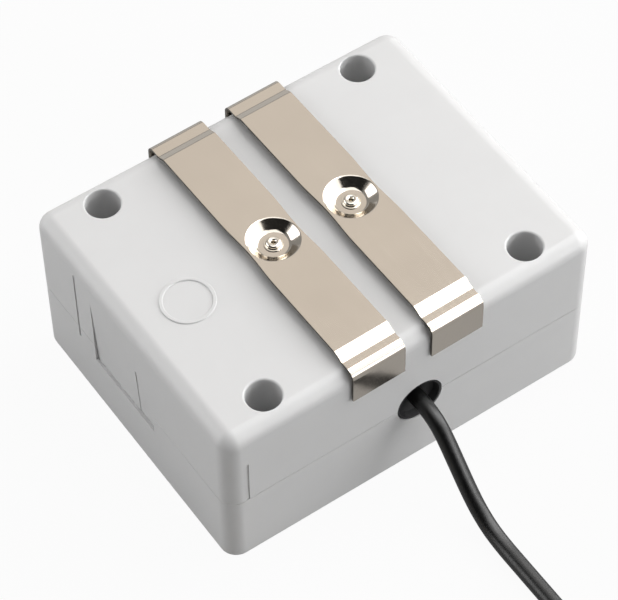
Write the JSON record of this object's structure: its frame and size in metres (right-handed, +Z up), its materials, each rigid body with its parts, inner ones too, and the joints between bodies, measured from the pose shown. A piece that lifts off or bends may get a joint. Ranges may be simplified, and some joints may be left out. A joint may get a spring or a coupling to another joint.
{
  "type": "water leak shut-off controller",
  "caption": "Box-shaped moulded leak sensor and shut-off controller with metal contact strips, deep screw wells, a press button and a thin signal cable with a jack plug.",
  "frame": {"origin": "middle of the flat front face that the housing lies on, below the middle of its box; the free cable and its plug aren't counted", "axes": "+X along the housing, -Y towards the side that the cable leaves, +Z up to the face that carries the contact strips"},
  "size_m": [0.1042, 0.1635, 0.0406],
  "materials": {
    "housing_plastic": "moulded, fine satin",
    "button_plastic": "moulded, fine satin",
    "strip_metal": "pressed sheet, satin",
    "rivet_metal": "bright",
    "screw_steel": "zinc plated",
    "tag_brass": "tinned",
    "seal_rubber": "soft, matte",
    "grommet_rubber": "soft, matte",
    "cable_jacket": "extruded, satin",
    "clamp_plastic": "moulded",
    "red_insulation": "extruded",
    "black_insulation": "extruded",
    "blue_insulation": "extruded",
    "board_laminate": "solder mask",
    "terminal_green": "moulded",
    "relay_white": "moulded",
    "header_ivory": "moulded",
    "black_plastic": "moulded",
    "chip_epoxy": "moulded",
    "capacitor_sleeve": "shrink sleeve",
    "cell_wrap": "shrink sleeve",
    "contact_nickel": "nickel plated",
    "lamp_epoxy": "clear tinted",
    "light_pipe_clear": "clear",
    "plug_plastic": "moulded",
    "plug_gold": "gold plated, bright"
  },
  "bodies": {
    "housing": {"base_shell": "housing_plastic", "front_cover": "housing_plastic", "housing_seal": "seal_rubber", "housing_screws": "screw_steel", "left_contact_strip": "strip_metal", "right_contact_strip": "strip_metal", "strip_rivets": "rivet_metal", "contact_tags": "tag_brass", "left_contact_wire": "blue_insulation", "right_contact_wire": "blue_insulation", "cable_grommet": "grommet_rubber", "cable_clamp": "clamp_plastic", "clamp_screws": "screw_steel", "cable_inner_end": "cable_jacket", "red_core": "red_insulation", "black_core": "black_insulation", "circuit_board": "board_laminate", "board_screws": "screw_steel", "cable_terminal_block": "terminal_green", "terminal_screws": "screw_steel", "signal_relay": "relay_white", "sounder": "black_plastic", "controller_chip": "chip_epoxy", "supply_capacitor": "capacitor_sleeve", "battery_holder": "black_plastic", "battery": "cell_wrap", "battery_contacts": "contact_nickel", "probe_header": "header_ivory", "test_switch_body": "black_plastic", "status_led": "lamp_epoxy", "light_pipe": "light_pipe_clear", "cable_run": "cable_jacket", "cable_coil": "cable_jacket", "plug_body": "plug_plastic", "plug_sleeve": "plug_gold", "plug_insulator": "plug_plastic", "plug_tip": "plug_gold"},
    "test_button": {"test_button": "button_plastic", "test_switch_plunger": "black_plastic"}
  },
  "joints": [
    {"name": "button_press", "type": "slide", "parent": "housing", "child": "test_button", "axis": [0, 0, 1], "range_m": [0, 0.0006], "stiffness_N_per_m": 2000, "springref_m": -0.0003}
  ]
}
